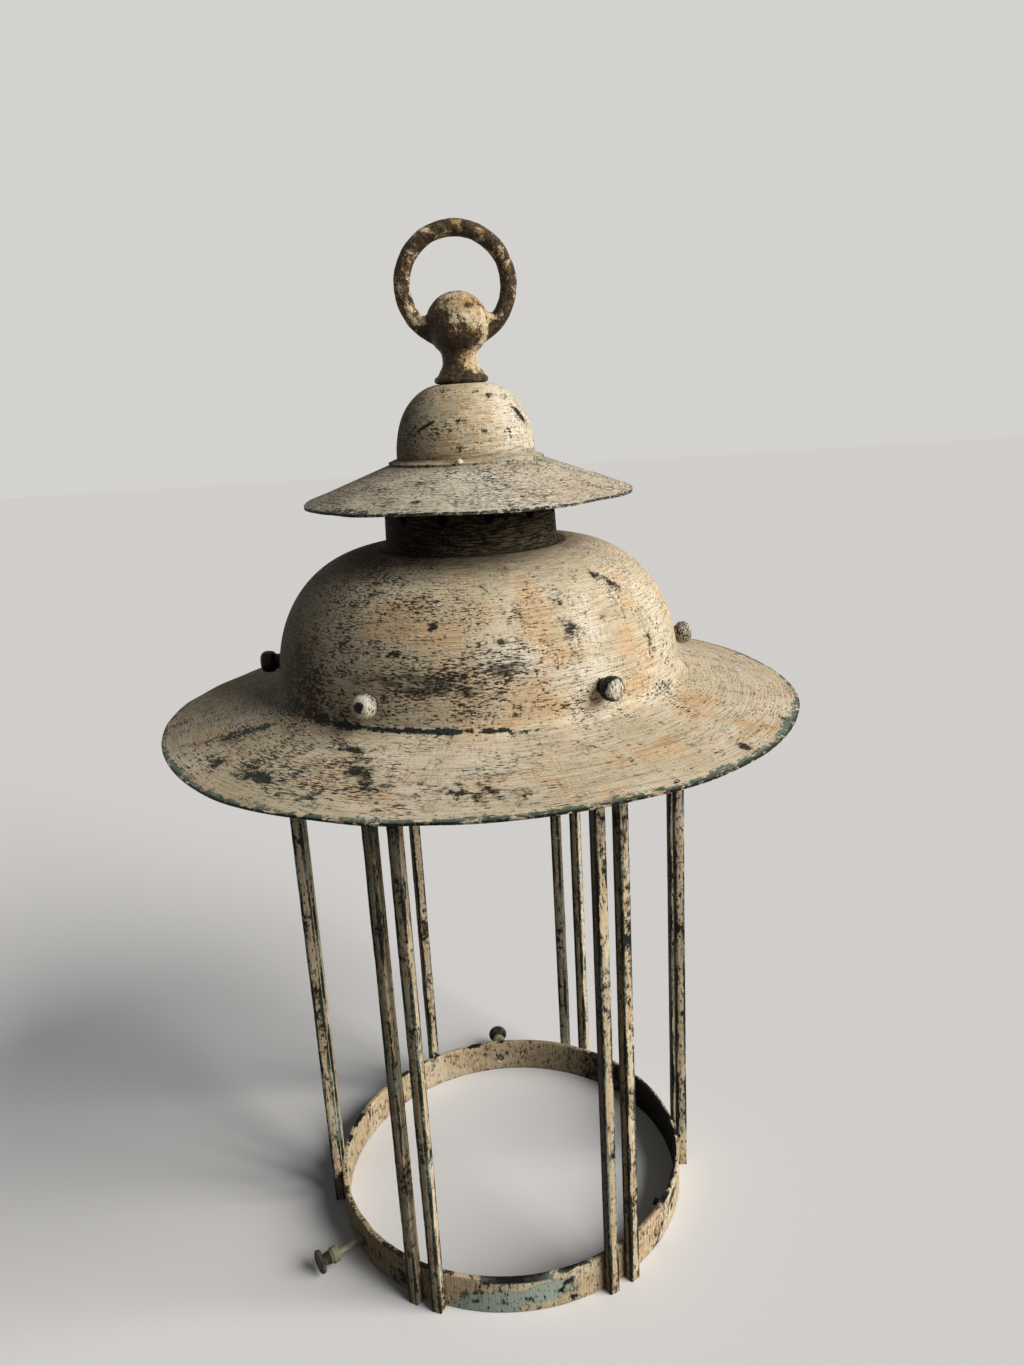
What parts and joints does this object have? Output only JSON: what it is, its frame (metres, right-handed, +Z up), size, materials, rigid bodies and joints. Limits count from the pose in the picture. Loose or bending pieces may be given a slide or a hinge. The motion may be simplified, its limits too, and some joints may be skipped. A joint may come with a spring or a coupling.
{
  "type": "outdoor pendant lantern",
  "caption": "Weathered hanging lantern: spun hood with vented neck, rain cap and crown under a cast hanging eye, over an open cage of paired square bars held by bands.",
  "frame": {"origin": "middle of the foot circle, on the surface that the lantern stands on", "axes": "+Z up along the lantern's axis to the hanging ring, -Y towards the front of the picture, the ring lies in the XZ plane"},
  "size_m": [0.34, 0.34, 0.562],
  "materials": {
    "painted_sheet": "worn matt cream paint over dark green-grey metal, brushed round the axis",
    "painted_bar": "flaking cream and green paint over rusty bar",
    "cast_iron": "rusty brown-black casting with remains of cream paint",
    "screw_brass": "dull dark patina with paint in the hollows",
    "inner_steel": "dull, lightly rusted",
    "porcelain": "glazed, dusty",
    "holder_brass": "tarnished"
  },
  "bodies": {
    "lantern": {"hanging_eye": "cast_iron", "crown": "painted_sheet", "rain_cap": "painted_sheet", "crown_rivet_1": "screw_brass", "crown_rivet_2": "screw_brass", "crown_rivet_3": "screw_brass", "hood": "painted_sheet", "bridge_strap": "inner_steel", "hanging_stud": "inner_steel", "stud_washer": "inner_steel", "stud_nut": "inner_steel", "holder_cap": "porcelain", "holder_body": "porcelain", "holder_shell": "holder_brass", "holder_contact": "holder_brass", "top_band": "painted_bar", "low_band": "painted_bar", "cage_bar_1": "painted_bar", "cage_bar_2": "painted_bar", "cage_bar_3": "painted_bar", "cage_bar_4": "painted_bar", "cage_bar_5": "painted_bar", "cage_bar_6": "painted_bar", "cage_bar_7": "painted_bar", "cage_bar_8": "painted_bar", "cage_bar_9": "painted_bar", "cage_bar_10": "painted_bar", "cage_bar_11": "painted_bar", "cage_bar_12": "painted_bar", "screw_stub": "screw_brass"},
    "hood_screw_1": {"hood_screw_1": "screw_brass"},
    "hood_screw_2": {"hood_screw_2": "screw_brass"},
    "hood_screw_3": {"hood_screw_3": "screw_brass"},
    "hood_screw_4": {"hood_screw_4": "screw_brass"},
    "hood_screw_5": {"hood_screw_5": "screw_brass"},
    "hood_screw_6": {"hood_screw_6": "screw_brass"},
    "glass_screw_1": {"glass_screw_1": "screw_brass"},
    "glass_screw_2": {"glass_screw_2": "screw_brass"}
  },
  "joints": [
    {"name": "hood_screw_1_travel", "type": "slide", "parent": "lantern", "child": "hood_screw_1", "axis": [-0.5, -0.866, 0], "range_m": [0, 0.005]},
    {"name": "hood_screw_2_travel", "type": "slide", "parent": "lantern", "child": "hood_screw_2", "axis": [0.5, -0.866, 0], "range_m": [0, 0.005]},
    {"name": "hood_screw_3_travel", "type": "slide", "parent": "lantern", "child": "hood_screw_3", "axis": [1, 0, 0], "range_m": [0, 0.005]},
    {"name": "hood_screw_4_travel", "type": "slide", "parent": "lantern", "child": "hood_screw_4", "axis": [0.5, 0.866, 0], "range_m": [0, 0.005]},
    {"name": "hood_screw_5_travel", "type": "slide", "parent": "lantern", "child": "hood_screw_5", "axis": [-0.5, 0.866, 0], "range_m": [0, 0.005]},
    {"name": "hood_screw_6_travel", "type": "slide", "parent": "lantern", "child": "hood_screw_6", "axis": [-1, 0, 0], "range_m": [0, 0.005]},
    {"name": "glass_screw_1_travel", "type": "slide", "parent": "lantern", "child": "glass_screw_1", "axis": [-0.866, -0.5, 0], "range_m": [-0.0153, 0.002]},
    {"name": "glass_screw_2_travel", "type": "slide", "parent": "lantern", "child": "glass_screw_2", "axis": [0, 1, 0], "range_m": [-0.0153, 0.002]}
  ]
}
